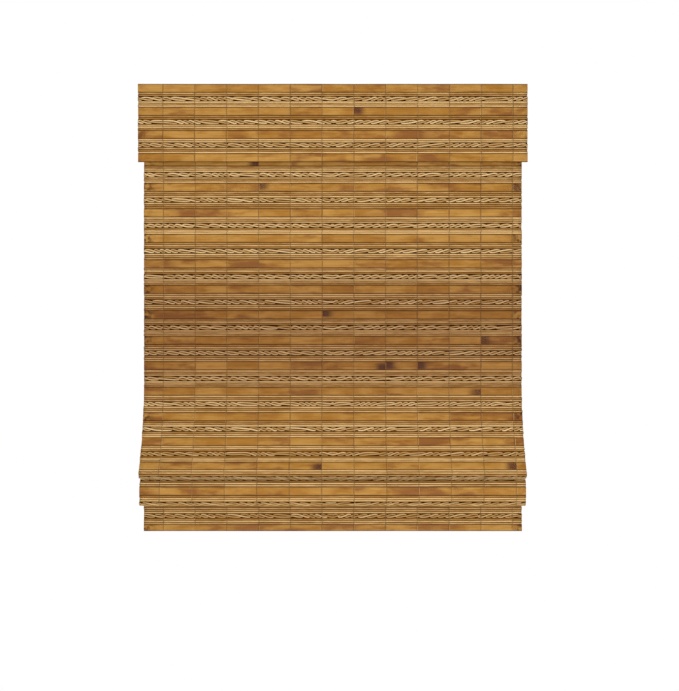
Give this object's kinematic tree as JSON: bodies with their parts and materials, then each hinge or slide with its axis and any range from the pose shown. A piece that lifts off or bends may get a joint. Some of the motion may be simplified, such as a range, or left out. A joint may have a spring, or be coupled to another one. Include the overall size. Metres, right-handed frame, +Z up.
{
  "type": "woven wood roman shade",
  "caption": "Woven wood roman shade of bamboo slats, reeds and twine with a matching valance, soft folds above the hem and a cordless spring lift in the head rail.",
  "frame": {"origin": "middle of the four bracket screw holes, on the mounting plane at the top of the brackets", "axes": "+Z up, +X to the viewer's right from the room, -Y towards the room"},
  "size_m": [0.762, 0.101, 0.8765],
  "materials": {
    "woven_wood": "satin bamboo, reed and straw twine weave",
    "batten_wood": "plain planed softwood",
    "hem_wood": "stained lath",
    "rail_paint": "ivory powder coat",
    "cap_plastic": "ivory moulded",
    "bracket_steel": "zinc plated",
    "shaft_steel": "drawn steel",
    "spool_plastic": "natural acetal",
    "motor_plastic": "dark moulded",
    "spring_steel": "blued spring steel",
    "ring_plastic": "ivory moulded",
    "cord_braid": "braided tan cord",
    "tape": "hook and loop tape",
    "screw_steel": "zinc plated"
  },
  "bodies": {
    "head": {"head_rail": "rail_paint", "end_cap_left": "cap_plastic", "end_cap_right": "cap_plastic", "bracket_left": "bracket_steel", "bracket_right": "bracket_steel", "mat_tape": "tape", "clamp_batten": "batten_wood", "clamp_screws": "screw_steel", "valance_tape": "tape", "valance_mat": "woven_wood", "woven_panel": "woven_wood", "spool_cradle_left": "spool_plastic", "spool_cradle_middle": "spool_plastic", "spool_cradle_right": "spool_plastic", "motor_case": "motor_plastic", "motor_cover": "motor_plastic", "spring_band": "spring_steel", "lift_cord_left": "cord_braid", "lift_cord_middle": "cord_braid", "lift_cord_right": "cord_braid"},
    "hem": {"fold_stack": "woven_wood", "hem_bar": "hem_wood", "hem_pins": "screw_steel", "fold_rings": "ring_plastic", "bend_rings": "ring_plastic", "hem_rings": "ring_plastic", "cord_stops": "ring_plastic"},
    "panel_row": {"panel_rings": "ring_plastic"},
    "shaft": {"lift_shaft": "shaft_steel", "cord_spool_left": "spool_plastic", "cord_spool_middle": "spool_plastic", "cord_spool_right": "spool_plastic", "drive_drum": "spool_plastic", "drive_coil": "spring_steel"},
    "store": {"storage_drum": "spool_plastic", "storage_coil": "spring_steel"}
  },
  "joints": [
    {"name": "lift", "type": "slide", "parent": "head", "child": "hem", "axis": [0, 0, 1], "range_m": [0, 0.43], "deforming": ["woven_panel", "lift_cord_left", "lift_cord_middle", "lift_cord_right"]},
    {"name": "panel_row_slide", "type": "slide", "parent": "head", "child": "panel_row", "axis": [0, 0, 1], "range_m": [0, 0.21]},
    {"name": "shaft_spin", "type": "hinge", "parent": "head", "child": "shaft", "pos_m": [0, -0.0035, -0.0175], "axis": [1, 0, 0], "range_deg": [-2290, 5]},
    {"name": "storage_spin", "type": "hinge", "parent": "head", "child": "store", "pos_m": [0.125, 0.0107, -0.0175], "axis": [1, 0, 0], "range_deg": [-5, 2910]}
  ],
  "couplings": [
    {"joint": "panel_row_slide", "follows": "lift", "ratio": 0.48247},
    {"joint": "shaft_spin", "follows": "lift", "rad_per_m": -92.593},
    {"joint": "storage_spin", "follows": "lift", "rad_per_m": 117.52}
  ]
}
